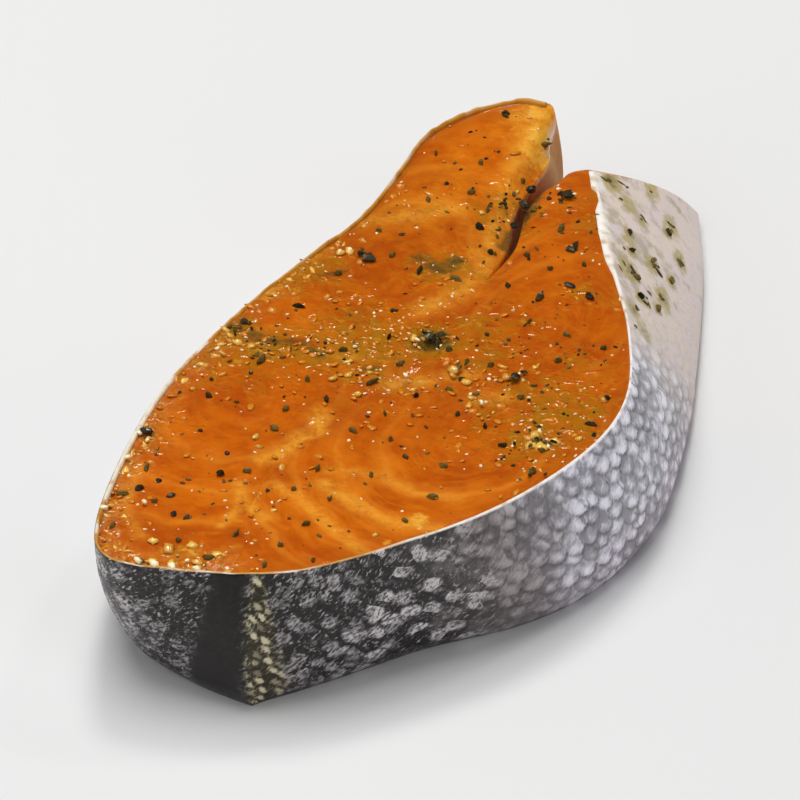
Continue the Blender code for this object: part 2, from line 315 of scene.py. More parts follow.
def connect(value, socket):
    # a wire is linked, and a number or colour is set on the socket
    if isinstance(value, Wire):
        value.tree.links.new(value.socket, socket)
    elif isinstance(value, tuple) and len(value) == 3 and len(socket.default_value) == 4:
        socket.default_value = (*value, 1.0)
    else:
        socket.default_value = value


def dress(node, values):
    # sets or links each named input of a node
    for name, value in values.items():
        connect(value, node.inputs[name])


def addNode(tree, kind, inputs, **settings):
    # a new node with its settings made first, since they may change its inputs
    node = tree.nodes.new("ShaderNode" + kind)
    for key, value in settings.items():
        setattr(node, key, value)
    dress(node, inputs)
    return node


def worked(operation, first, second=0.0, limited=False):
    # a Math node, limited to 0 to 1 where asked
    tree = (first if isinstance(first, Wire) else second).tree
    node = addNode(tree, "Math", {0: first, 1: second}, operation=operation, use_clamp=limited)
    return Wire(node.outputs[0])


def blend(share, first, second, way="MIX"):
    # first times 1 - share plus second times share, or the same share of another way to mix
    tree = next(value.tree for value in (share, first, second) if isinstance(value, Wire))
    node = addNode(tree, "Mix", {"Factor": share, 6: first, 7: second}, data_type="RGBA", blend_type=way)
    return Wire(node.outputs[2])


def layered(colour, *layers):
    # each layer, a share and a colour, over the ones before it
    for share, over in layers:
        colour = blend(share, colour, over)
    return colour


def noise(place, size, detail=2.0, roughness=0.5, distortion=0.0):
    # noise whose lumps are about size mm across
    inputs = {"Vector": place, "Scale": 1 / (size * mm), "Detail": detail, "Roughness": roughness,
              "Distortion": distortion}
    return Wire(addNode(place.tree, "TexNoise", inputs).outputs["Fac"])


def painted(place, name):
    # the mesh's own attribute of this name
    return Wire(addNode(place.tree, "Attribute", {}, attribute_name=name).outputs["Fac"])


def combined(**parts):
    # a vector of the parts X, Y and Z
    tree = next(iter(parts.values())).tree
    return Wire(addNode(tree, "CombineXYZ", parts).outputs["Vector"])


def separated(vector):
    # the X, Y and Z of a vector
    node = addNode(vector.tree, "SeparateXYZ", {"Vector": vector})
    return [Wire(node.outputs[name]) for name in "XYZ"]


def redOf(colour):
    # the red of a cell's random colour, which serves as a random share
    return Wire(addNode(colour.tree, "SeparateColor", {"Color": colour}).outputs["Red"])


def raised(height, depth):
    # bump of depth mm
    inputs = {"Strength": 1.0, "Distance": depth * mm, "Height": height}
    return Wire(addNode(height.tree, "Bump", inputs).outputs["Normal"])


def newFinish(name):
    # a material, its shader and the wire of the piece's own coordinates
    made = bpy.data.materials.new(name)
    made.use_nodes = True
    place = Wire(addNode(made.node_tree, "TexCoord", {}).outputs["Object"])
    return made, made.node_tree.nodes["Principled BSDF"], place


# Marinated flesh

flesh = {
    "rows": 280,
    "columns": 66,
    "rings": 16,
    "underSkin": 0.6,       # mm the flesh stops short of the skin's outside
    "deepOrange": (0.455, 0.073, 0.001),
    "litOrange": (0.62, 0.130, 0.001),
    "septumColour": (0.84, 0.36, 0.030),
    "bandColour": (0.86, 0.235, 0.010),
    "fibreColour": (0.80, 0.25, 0.012),
    "brownTint": (0.76, 0.74, 1.0),
    "yellowColour": (0.76, 0.27, 0.010),
    "oliveColour": (0.36, 0.155, 0.004),
    "goldenColour": (0.80, 0.40, 0.030),
    "paleColour": (0.84, 0.44, 0.050),
    "smudgeColour": (0.085, 0.060, 0.012),
    "dustColour": (0.075, 0.045, 0.008),
    "rimColour": (0.38, 0.085, 0.005),
    "wallColour": (0.42, 0.085, 0.003),
    "wallLightColour": (0.66, 0.20, 0.010),
    "fattyColour": (0.82, 0.50, 0.20),
    "greyFatColour": (0.52, 0.28, 0.10),
    "sheenTint": (1.0, 0.70, 0.25, 1.0),
    "coatRoughness": 0.05,
    "bumpDepth": 0.10,
    # where septa show, and where the marinade tints the cut: x, y, radius in mm and strength
    "septaBlots": [(14, 27, 17, 1.0), (-2, 20, 12, 0.8), (-18, 118, 12, 0.7), (-16, 22, 14, 0.35),
                   (22, 100, 14, 0.35), (26, 40, 14, 0.6)],
    "blots": {
        "olive": [(-8, 74, 16, 0.75), (-26, 60, 12, 0.6), (-28, 92, 12, 0.7), (30, 66, 14, 0.75),
                  (8, 84, 14, 0.6), (-2, 122, 9, 0.6), (12, 128, 8, 0.5), (1.6, 80, 7, 1.0),
                  (-15, 67.5, 6, 0.9), (-23, 67, 6, 1.0), (-31, 68, 6, 1.0), (31, 57, 9, 0.7),
                  (20, 74, 6, 0.6), (-31, 34, 7, 0.5), (21, 104, 6, 0.5), (29, 83, 8, 0.5),
                  (-5, 102, 7, 0.8), (-11, 3, 6, 0.4), (-12, 118, 7, 0.3)],
        "brown": [(10, 78, 30, 0.9), (32, 66, 16, 0.7), (-16, 104, 22, 1.0), (12, 122, 12, 0.5),
                  (-20, 62, 16, 0.5), (-12, 112, 12, 0.5)],
        "yellow": [(-18, 126, 16, 0.75), (-4, 112, 10, 0.6), (-8, 150, 12, 1.0)],
        "pale": [(22, 27.6, 2.2, 0.9), (-5, 147, 3.5, 1.0), (-2, 146, 8, 0.9), (-9, 153, 6, 0.75),
                 (-10, 4, 5, 0.5), (-30, 84, 5, 0.6), (19.5, 18.5, 2.0, 0.5), (31, 57, 4, 0.35)],
    },
    # pale septa, a painted highlight along the left flap's inner ridge, dark smudges of herb and a darker
    # stroke along the slit: path, half width in mm and strength
    "strokes": {
        "paleStroke": [
            ([(-10.4, 25.6), (-6.7, 20.9), (-1.9, 17.8)], 0.9, 0.75),
            ([(-5.1, 27.9), (-0.6, 26.4), (4, 23.4), (10, 19.5), (17.4, 14.1)], 1.0, 0.9),
            ([(3, 31.4), (8.5, 28.1), (14.3, 25.7), (19.2, 24.8), (25.9, 26.1)], 1.2, 1.0),
            ([(2.3, 35.6), (7.3, 37.2), (13.7, 36.7), (18.5, 35.5), (25.3, 36.1)], 1.1, 0.6),
            ([(-9.7, 34.1), (-7.5, 39), (-6.9, 43.5), (-4.6, 46), (-6.5, 51.8)], 1.3, 1.0),
            ([(-8, 12.9), (-7.4, 18.9), (-10, 26)], 0.7, 0.8),
            ([(-26, 110), (-21.9, 112.8), (-16, 117), (-10.8, 120.9)], 1.7, 0.9),
            # painted highlight along the left flap's rounded inner ridge
            ([(-3.3, 88.5), (1.0, 97.5), (0.8, 105), (-2.6, 121.7), (-5.0, 132), (-7.6, 147.5)], 1.7, 0.85),
            ([(-12.5, 68.8), (-6.6, 70.8)], 1.2, 0.9),
            ([(-0.3, 65.7), (5.6, 68.8)], 1.5, 1.0),
            ([(16.6, 66.8), (20.2, 68.3)], 1.5, 1.0),
            ([(9, 71), (13, 74)], 1.2, 0.7),
            ([(-28.7, 92.4), (-27.1, 99.9)], 1.2, 0.9),
            ([(-12, 150), (-6, 152), (-4.5, 146)], 1.6, 0.8),
            ([(-19, 5), (-26, 12), (-28, 24)], 1.0, 0.5),
        ],
        "darkStroke": [
            ([(-31, 70), (-24, 68.5), (-18.3, 69.7), (-14, 68)], 1.5, 0.75),
            ([(-9.7, 103.4), (-5.3, 101.8), (-4, 105.2)], 2.2, 0.75),
            ([(-23.9, 91), (-20.4, 94.2)], 0.9, 0.7),
            ([(1.0, 79.4), (2.8, 81.4)], 2.3, 1.15),
            ([(-5, 66), (-3, 69)], 1.6, 0.6),
            ([(30, 56), (34, 60)], 2.0, 0.5),
            # darker along the slit between the flaps
            ([(1.5, 114), (0.6, 126), (-0.5, 133)], 1.3, 0.9),
        ],
    },
}


def fleshZones(side, along, across, x, y):
    # the painted zones, each from 0 to 1: exp of minus the squared mm from the skin, blots and strokes
    fromSkin = (1 - across) * upperHalfWidth(side, along)
    byTheBack = (side == "left") * np.exp(-(fromSkin / 5.0) ** 2)
    return {
        "layer": muscleLayer(side, x, y),
        **{name: strokes(x, y, lines) for name, lines in flesh["strokes"].items()},
        "rim": np.exp(-(fromSkin / 3.5) ** 2),
        "septa": 0.15 + 0.55 * blot(x, y, flesh["septaBlots"]),
        **{name: blot(x, y, places) for name, places in flesh["blots"].items()},
        "rough": byTheBack * np.clip(1.35 - along * 2.1, 0, 1),
    }


def makeFlesh(finish):
    # each half as five patches on shares along, across and up, welded where they meet; the cut is
    # raised by two sizes of soft noise, and more where it is rough
    along = np.linspace(0, 1, flesh["rows"] + 1)
    slitRow = int(round(steak["slitStart"] * flesh["rows"]))
    up = np.linspace(0, 1, flesh["rings"] + 1)
    share = np.linspace(0, 1, flesh["columns"] + 1)
    points, faces, columns = [], [], {}
    count = 0
    for side in ("right", "left"):
        widest = 1 - flesh["underSkin"] / upperHalfWidth(side, along)
        across = widest[:, None] * share
        rows = np.broadcast_to(along[:, None], across.shape)
        patches = [
            (rows, across, np.ones_like(across)),
            (rows, across, np.zeros_like(across)),
            np.broadcast_arrays(along[:, None], widest[:, None], up),
            np.broadcast_arrays(along[slitRow:, None], np.zeros((1, 1)), up),
            np.broadcast_arrays(np.ones((1, 1)), across[-1][:, None], up),
        ]
        for a, b, h in patches:
            x, y = np.moveaxis(upperPlan(side, a, b), -1, 0)
            zones = fleshZones(side, a, b, x, y)
            zones["wall"] = np.clip((1 - h) * flesh["rings"], 0, 1) * (h > 0)
            lumps = 0.13 * softNoise(x, y, 0.0, 7.0, 5) + 0.05 * softNoise(x, y, 0.0, 2.6, 6)
            lumps = lumps + zones["rough"] * 0.35 * softNoise(x, y, 0.0, 2.2, 7)
            points.append(steakPoint(side, a, b, h, lumps).reshape(-1, 3))
            faces.append(gridFaces(*a.shape, start=count))
            count += a.size
            for key, values in zones.items():
                columns.setdefault(key, []).append(values.ravel())
    attributes = {key: np.concatenate(values) for key, values in columns.items()}
    meshPiece("salmonFlesh", np.vstack(points), np.vstack(faces).tolist(), finish,
              attributes, weld=0.02)


def fleshFinish():
    # orange of two tones under septa, fibres, painted zones, walls, herb dust and oil
    made, shader, place = newFinish("marinatedFlesh")
    value = partial(painted, place)
    broad, middle = noise(place, 14, 3, 0.55), noise(place, 3.2, 3, 0.6)
    fine, ragged = noise(place, 0.9, 2, 0.6), noise(place, 2.4, 4, 0.7, 0.4)
    tone = broad * 0.6 + middle * 0.4

    # septa: a line where the layer count, shaken by noise, passes a whole number
    septa, shaken = value("septa"), value("layer") + noise(place, 9, 2) * 0.5
    fromLine = abs(worked("FRACT", shaken + 0.15) - 0.5)
    line = fromLine.eased(0.015, 0.13, 1.0, 0.0) * shaken.eased(1.6, 2.3)
    line = line * noise(place, 6, 3, 0.6).eased(0.30, 0.52) * septa
    band = fromLine.eased(0.02, 0.42, 1.0, 0.0) * septa * shaken.eased(1.6, 2.3, 0.0, 0.60)

    # fibres: fine bands side by side with the septa, at a noise of the layer count
    x, y, z = separated(place)
    banded = combined(X=shaken * 0.006, Y=x * 0.12, Z=y * 0.12)
    fibres = noise(banded, 1.1, 3, 0.6).eased(0.42, 0.68) * (septa + 0.10)
    # pale strokes: septa, and the painted highlight along the left flap's inner ridge
    streak = value("paleStroke") * ragged.eased(0.34, 0.62, 0.30, 1.0)
    colour = layered(
        flesh["deepOrange"],
        (tone.eased(0.38, 0.62), flesh["litOrange"]),
        (line * 0.75, flesh["septumColour"]),
        (band, flesh["bandColour"]),
        (fibres * 0.55, flesh["fibreColour"]),
        (streak * 0.9, flesh["septumColour"]),
    )
    browner = value("brown") * broad.eased(0.35, 0.65, 0.35, 1.0)
    colour = blend(browner, colour, flesh["brownTint"], "MULTIPLY")

    # painted zones, each broken up by noise
    rough, olive = value("rough"), value("olive")
    oily = (olive * 0.45 + noise(place, 3.4, 5, 0.7)).eased(0.60, 0.92)
    golden = noise(place, 1.9, 4, 0.7).eased(0.54, 0.70) * (olive + rough)
    pale = (value("pale") * 0.55 + noise(place, 2.0, 5, 0.7)).eased(0.66, 1.02)
    smudge = (value("darkStroke") * 0.7 + ragged).eased(0.70, 1.15)
    colour = layered(
        colour,
        (value("yellow") * middle.eased(0.35, 0.65, 0.2, 0.8) * 0.5, flesh["yellowColour"]),
        (value("rim") * middle.eased(0.35, 0.6) * 0.55, flesh["rimColour"]),
        (oily * 0.80, flesh["oliveColour"]),
        (golden * 0.65, flesh["goldenColour"]),
        (pale * 0.9, flesh["paleColour"]),
        (smudge * 0.85, flesh["smudgeColour"]),
        (rough * fine.eased(0.42, 0.62) * 0.6, flesh["greyFatColour"]),
    )

    # walls: mottled, with thin leaning septa, at height / 6 mm and noise passing a whole number
    wall = value("wall")
    mottled = noise(place, 3.5, 5, 0.65, 0.5).eased(0.38, 0.64)
    leaning = worked("FRACT", z * (1 / (6 * mm)) + noise(place, 12, 3) * 3.0)
    thin = abs(leaning - 0.5).eased(0.02, 0.14, 1.0, 0.0) * middle.eased(0.35, 0.6)
    wallTone = layered(flesh["wallColour"], (mottled, flesh["wallLightColour"]),
                       (thin * 0.7, flesh["septumColour"]))

    # herb dust: small dark grains set by random cells
    dust = addNode(place.tree, "TexVoronoi", {"Vector": place, "Scale": 1 / (1.7 * mm)})
    enough = redOf(Wire(dust.outputs["Color"])) + olive * 0.30
    grain = Wire(dust.outputs["Distance"]).eased(0.07, 0.15, 1.0, 0.0) * enough.eased(0.86, 0.88)
    colour = layered(
        colour,
        (wall * 0.85, wallTone),
        (wall * value("pale") * 0.9, flesh["fattyColour"]),
        (grain * 0.75, flesh["dustColour"]),
    )

    # oil over grains: mostly calm, with sharp small rises and wrinkles that catch the light
    rises = noise(place, 2.0, 1, 0.5, 0.2).eased(0.48, 0.70)
    calm = noise(place, 4.0, 2, 0.45, 0.5) * 1.2
    lively = rough * 3.0 + broad.eased(0.44, 0.64, 0.10, 0.7) + olive * 2.0 + streak * 0.8
    normal = raised(rises * lively + calm - line * 0.4, flesh["bumpDepth"])
    dress(shader, {
        "Base Color": colour,
        "Roughness": middle * 0.16 + 0.16 + wall * 0.45,
        "Specular IOR Level": 0.22,
        "Specular Tint": flesh["sheenTint"],
        "Coat Weight": wall.eased(0.0, 1.0, 0.55, 0.0),
        "Coat Roughness": flesh["coatRoughness"],
        "Coat IOR": 1.46,
        "Subsurface Weight": 0.3,
        "Subsurface Radius": (1.0, 0.32, 0.10),
        "Subsurface Scale": 3 * mm,
        "Normal": normal,
        "Coat Normal": normal,
    })
    return made


makeFlesh(fleshFinish())

# The solid's herb flakes, whose places both the skin and the herbs need

solidFlakes = {
    # count, then length, width and height in mm
    "onCut": [(16, 3.4, 1.7, 0.9), (26, 2.4, 1.4, 0.9), (34, 1.7, 1.3, 1.0)],
    "onBelly": (8, 2.4, 1.4, 0.9),
    "cutSpacing": 6.0,
    "bellySpacing": 4.2,
    "seed": 23,
    "sink": 0.25,           # share of its height that a flake is sunk
    "uneven": (0.85, 1.15),
    "corners": 12,          # the solid's flake draws a number for each corner
    "leafScale": 0.88,      # leaf bits are this much shorter and narrower than the solid's lumps
}


def solidGrid(side):
    # the solid's own rows, columns and rings, where its flakes are set
    along = np.linspace(0, 1, steak["rows"] + 1)[:, None, None]
    across = np.append(np.linspace(0, 1 - 1 / 38, 14), 1.0)[None, :, None]
    up = np.linspace(0, 1, 7)[None, None, :]
    return steakPoint(side, *np.broadcast_arrays(along, across, up))


def flakePlaces():
    # the solid's seeded flakes, each on one of its corners and no nearer to another than the
    # spacing: rows of place, direction, size and turn
    draw = random.Random(solidFlakes["seed"])
    halves = (solidGrid("right"), solidGrid("left"))

    def onCut(points):
        # a corner of the upper cut, upright
        row, column = draw.randint(1, steak["rows"] - 2), draw.randint(1, 12)
        return Vector(points[row, column, -1]), Vector((0, 0, 1))

    def onBelly(points):
        # a corner of the belly skin, along the cross product of two of its edges
        row, ring = draw.randint(43, 52), draw.randint(3, 5)
        here = Vector(points[row, -1, ring])
        further, higher = Vector(points[row + 1, -1, ring]), Vector(points[row, -1, ring + 1])
        away = (further - here).cross(higher - here)
        away.normalize()
        return here, away if away.x > 0 else -away

    def spread(place, among, count, spacing):
        # tries places until enough of them keep their distance
        chosen = []
        while len(chosen) < count:
            here, lean = place(draw.choice(among))
            if all((here - other).length > spacing for other, _ in chosen):
                chosen.append((here, lean))
        return chosen

    belly = solidFlakes["onBelly"]
    sizes = [row[1:] for row in solidFlakes["onCut"] for _ in range(row[0])]
    places = spread(onCut, halves, len(sizes), solidFlakes["cutSpacing"])
    places += spread(onBelly, halves[:1], belly[0], solidFlakes["bellySpacing"])
    sizes += [belly[1:]] * belly[0]
    rows = []
    for size, (here, lean) in zip(sizes, places):
        length, width, height = (part * draw.uniform(*solidFlakes["uneven"]) for part in size)
        for _ in range(solidFlakes["corners"]):
            draw.uniform(*solidFlakes["uneven"])
        turn = draw.uniform(0, 2 * math.pi)
        middle = here + lean * height * (0.5 - solidFlakes["sink"])
        leaf = solidFlakes["leafScale"]
        rows.append((*middle, *lean, leaf * length, leaf * width, height, turn))
    return np.array(rows)


# Scaly skin

skin = {
    "columns": 1100,        # along the flank from the left flap's tip round the ridge to the right
    "rings": 64,
    "thickness": 1.1,
    "scaleWidth": 4.4,
    "scaleHeight": 3.1,
    "scaleDepth": 0.26,
    "backColour": (0.010, 0.007, 0.006),
    "backLight": (0.018, 0.015, 0.014),
    "darkScaleColour": (0.017, 0.014, 0.013),
    # painted glints on the dark back's scales
    "glintColour": (0.74, 0.69, 0.70),
    "greyScaleColour": (0.30, 0.262, 0.262),
    # painted shade in the creases between the flank's scales
    "creaseShadeColour": (0.085, 0.075, 0.085),
    "silverColour": (0.70, 0.68, 0.76),
    "lilacColour": (0.68, 0.60, 0.69),
    "bellyColour": (0.86, 0.72, 0.60),
    "bellyLilac": (0.82, 0.68, 0.71),
    # painted shade in the belly's faint scale creases
    "bellyCreaseShade": (0.36, 0.31, 0.33),
    # pale bead scales with their painted glints
    "beadGlintColour": (0.70, 0.62, 0.42),
    "beadGap": (0.030, 0.024, 0.010),
    "oliveSmudge": (0.25, 0.20, 0.060),
    "haloColour": (0.50, 0.385, 0.115),
    "cutEdgeColour": (0.93, 0.89, 0.84),
    "cutEdgeShade": (0.60, 0.44, 0.24),
    "oilyEdgeColour": (0.66, 0.32, 0.05),
    "oilyEdgeShade": (0.55, 0.23, 0.020),
    # pale skin edge and painted highlight on the left cut edge
    "creamAndGlintColour": (0.92, 0.84, 0.68),
    "coatRoughness": 0.12,
    "bumpDepth": 0.30,
    # width of the pale cut edge in mm: on the right against mm from the ridge, on the left against
    # the share along
    "edgeWidths": ([5, 25, 55, 85, 100, 112, 117, 124, 131, 134, 136.5, 138, 143],
                   [0.40, 0.60, 0.65, 0.40, 0.45, 0.75, 1.45, 1.70, 1.45, 0.50, 0.45, 1.20, 0.95]),
    "leftEdgeWidths": ([0.0, 0.03, 0.12, 0.22, 0.40, 0.50], [0.40, 0.60, 0.40, 0.75, 0.75, 0.45]),
    # how far the cut edge shows from outside, against mm from the ridge
    "edgeShows": ([98, 106, 114, 118, 131, 133.5, 137, 138.5, 143],
                  [0, 0.25, 0.5, 1.0, 1.0, 0.05, 0.05, 0.9, 0.9]),
    # oily herb smudges on the right flap: share along, level, radius in mm and strength
    "smudges": [(0.988, 0.91, 2.6, 1.1), (0.992, 0.62, 2.4, 0.6), (0.952, 0.81, 2.2, 0.6),
                (0.943, 0.46, 2.6, 0.6), (0.926, 0.72, 1.6, 0.5), (0.890, 0.39, 2.0, 1.0),
                (0.849, 0.67, 2.4, 0.7), (0.815, 0.88, 2.6, 0.9), (0.877, 0.85, 1.8, 0.6),
                (0.731, 0.93, 1.8, 1.0), (0.700, 0.85, 2.2, 0.8), (0.795, 0.59, 2.8, 0.8),
                (0.765, 0.78, 1.8, 0.6)],
    "flakeHalo": (1.5, 0.7),    # radius in mm and strength of the oil round a flake
}


def scalePattern(run, z, width, height, jitter, seed):
    # round-tipped scales in staggered rows with shaken centres: each hides what lies above its
    # lower arc, at centre height - root(radius squared - distance squared) + radius
    radius = 0.62 * width
    draw = np.random.default_rng(seed)
    tones, leans = draw.uniform(0, 1, (256, 64)), draw.uniform(-1, 1, (256, 64))
    shiftRun, shiftZ = draw.uniform(-jitter, jitter, (2, 256, 64))
    edge, upper = np.full(run.shape, -1e9), np.full(run.shape, 1e9)
    tone, lean, sideways = np.zeros((3, *run.shape))
    for row in range(-2, int(34 / height) + 3):
        offset = 0.5 * width * (row % 2)
        nearest = np.round((run - offset) / width).astype(int)
        for step in (-1, 0, 1):
            column, line = (nearest + step) % 256, row % 64
            away = run - offset - (nearest + step) * width - shiftRun[column, line]
            drop = np.sqrt(np.clip(radius**2 - away**2, 0, None))
            arc = row * height + shiftZ[column, line] + radius - drop
            reaches = np.abs(away) < 0.97 * radius
            covers = reaches & (z >= arc) & (arc > edge)
            edge = np.where(covers, arc, edge)
            tone = np.where(covers, tones[column, line], tone)
            lean = np.where(covers, leans[column, line], lean)
            sideways = np.where(covers, away / width, sideways)
            upper = np.where(reaches & (arc > z) & (arc < upper), arc, upper)
    above = np.clip(z - edge, 0, 2 * height)
    under = np.clip(upper - z, 0, 2 * height)
    # painted shade: dark just under the free edge of the scale above, and half as dark at a scale's own
    # free edge; the same share also presses the skin in as a crease
    creaseAndShade = np.maximum(np.exp(-(under / (0.17 * height)) ** 2),
                        0.5 * np.exp(-(above / (0.08 * height)) ** 2))
    # painted highlight: paler in the middle of each scale
    glint = np.exp(-((above / height - 0.42) / 0.30) ** 2 - (sideways / 0.27) ** 2)
    depth = 0.75 * np.clip(above / (1.5 * height), 0, 1) + 0.35 * lean * sideways
    return depth, tone, creaseAndShade, glint


def skinProfile():
    # a closed profile: outside, cut edge, inside and foot, as level, inset in mm, rise in mm and cut
    up = np.linspace(0, 1, skin["rings"] + 1)
    thick = skin["thickness"]
    outside = np.column_stack([up, np.zeros((up.size, 3))])
    cutEdge = [(1, 0.3, 0.20, 0.9), (1, 0.8, 0.20, 1), (1, thick, -0.6, 1)]
    inside = [(level, thick, 0, 1) for level in np.linspace(0.93, 0.07, 4)]
    return np.vstack([outside, cutEdge, inside, [(0, 0.8, 0, 1), (0, 0.3, 0, 1)]]).T


def skinPoints(signed, level, inset, rise):
    # the profile carried round the flank: the steak's side, less the inset, plus the rise
    place = np.zeros((signed.size, level.size, 3))
    rim = slice(skin["rings"] + 1, skin["rings"] + 4)
    for side in ("right", "left"):
        here = signed >= 0 if side == "right" else signed <= 0
        along = np.abs(signed[here])
        points = steakPoint(side, *np.broadcast_arrays(along[:, None], 1.0, level))
        if side == "right":
            wide = np.interp(skinLine("right", "upper", along)[:, 1], *skin["edgeWidths"])
        else:
            wide = np.interp(along, *skin["leftEdgeWidths"])
        narrowed = np.tile(inset, (along.size, 1))
        narrowed[:, rim] = np.outer(wide, (0.35, 1.0, 1.15))
        points[..., :2] -= outwardDirection(side, along)[:, None, :] * narrowed[..., None]
        points[..., 2] += rise
        place[here] = points
    return place


def bellyHalo(place):
    # oil round the belly's flakes and smudges: exp of minus the squared distance in radii
    rounds = [(*flake[:3], *skin["flakeHalo"]) for flake in flakePlaces()[-solidFlakes["onBelly"][0]:]]
    for share, height, radius, strength in skin["smudges"]:
        centre = steakPoint("right", np.array([share]), np.ones(1), np.array([height]))[0]
        rounds.append((*centre, radius, strength))
    halo = np.zeros(place.shape[:2])
    for x, y, z, radius, strength in rounds:
        away = np.linalg.norm((place - (x, y, z)) * (1, 0.65, 1.1), axis=-1)
        halo = np.maximum(halo, strength * np.exp(-(away / radius) ** 2))
    return halo


def makeSkin(finish):
    # the profile's sheet, pressed in by depth + 0.4 crease + lumps, with a wavering cut edge
    signed = np.linspace(-1, 1, skin["columns"] + 1)
    level, inset, rise, isCut = skinProfile()
    place = skinPoints(signed, level, inset, rise)
    middle = place[:, skin["rings"] // 2, :2]
    run = np.concatenate([[0], np.cumsum(np.linalg.norm(np.diff(middle, axis=0), axis=1))])
    run -= run[signed.size // 2]
    runs, levels = np.broadcast_arrays(run[:, None], level)
    z = place[..., 2]
    swayed = runs + 0.9 * softNoise(runs, z, 0.0, 9.0, 31)
    scales = scalePattern(swayed, z, skin["scaleWidth"], skin["scaleHeight"], 0.8, 33)
    beads = scalePattern(runs + 0.55 * z, z, 2.2, 2.3, 0.8, 34)

    # the ridge is smooth and nearly black, with a strip of beady scales along its right side
    wander = 0.5 * softNoise(z, runs, 0.0, 4.0, 35)
    ridgeBand = np.exp(-(((runs + 6.4 - 6.7 * levels - wander) / (5.8 - 3.0 * levels)) ** 8))
    beadHalf = 4.9 - 3.6 * levels + 0.5 * softNoise(z, runs, 0.0, 2.5, 37)
    beadBand = np.exp(-(((runs - 3.3 - 1.6 * levels - wander) / beadHalf) ** 6)) * (1 - ridgeBand)
    depth, tone, creaseAndShade, glint = (scale * (1 - beadBand) + bead * beadBand
                                  for scale, bead in zip(scales, beads))

    # the relief fades on the ridge, on the belly and at the outside's own edges
    belly = np.clip((runs - 105) / 45, 0, 1) + np.clip((-runs - 120) / 45, 0, 1)
    strength = (1 - 0.92 * ridgeBand) * (1 - 0.88 * belly)
    lumps = 0.35 * softNoise(runs, z, 0.0, 1.3, 36)
    outside = np.arange(level.size) <= skin["rings"]
    edges = np.clip(level * 12, 0, 1) * np.clip((1 - level) * 8 - 0.25, 0, 1)
    push = skin["scaleDepth"] * strength * outside * edges
    for side in ("right", "left"):
        here = signed >= 0 if side == "right" else signed < 0
        inward = push[here] * np.clip(depth[here] + 0.4 * creaseAndShade[here] + lumps[here], 0, 1.4)
        place[here, :, :2] -= outwardDirection(side, np.abs(signed[here]))[:, None, :] * inward[..., None]
    waver = 0.10 * softNoise(runs, 0.0, 0.0, 7.0, 41)
    waver = waver + 0.22 * softNoise(runs, 0.0, 0.0, 1.9, 44) * np.clip((-runs - 2) / 4, 0, 1)
    place[..., 2] += waver * (rise != 0)

    # the cut edge shows from outside where the flap's skin is thick, with a frayed border
    fray = 0.034 * softNoise(runs, 0.0, 0.0, 9.0, 42) + 0.006 * softNoise(runs, 0.0, 0.0, 3.5, 43)
    frayed = np.clip((levels - 0.970 + fray) * 30, 0, 1)
    northing = np.where(signed > 0, skinLine("right", "upper", np.abs(signed))[:, 1], 0)
    thickEdge = frayed * np.interp(northing, *skin["edgeShows"])[:, None]
    attributes = {
        "run": runs,
        "level": levels,
        "tone": tone,
        "creaseAndShade": creaseAndShade * strength,
        "glint": glint,
        "halo": bellyHalo(place),
        "cutEdge": np.maximum(isCut, thickEdge),
        "ridgeBand": ridgeBand,
        "beadBand": beadBand,
    }
    faces = gridFaces(signed.size, level.size, closed=True).tolist()
    last = (signed.size - 1) * level.size
    faces += [list(range(level.size)), list(range(last, last + level.size))]
    meshPiece("salmonSkin", place.reshape(-1, 3), faces, finish, attributes)


def warpedCells(where, size):
    # uneven cells about size mm wide, on a plane whose points are shaken by noise: tone, distance
    scale = 1 / (size * mm)
    shaking = addNode(where.tree, "TexNoise", {"Vector": where, "Scale": scale / 0.69, "Detail": 3})
    sway = (0.47 * size * mm, 0.38 * size * mm, 0)
    shaken = addNode(where.tree, "VectorMath", {0: Wire(shaking.outputs["Color"]), 1: sway, 2: where},
                     operation="MULTIPLY_ADD")
    cells = addNode(where.tree, "TexVoronoi", {}, voronoi_dimensions="2D")
    dress(cells, {"Vector": Wire(shaken.outputs["Vector"]), "Scale": scale})
    return redOf(Wire(cells.outputs["Color"])), Wire(cells.outputs["Distance"])


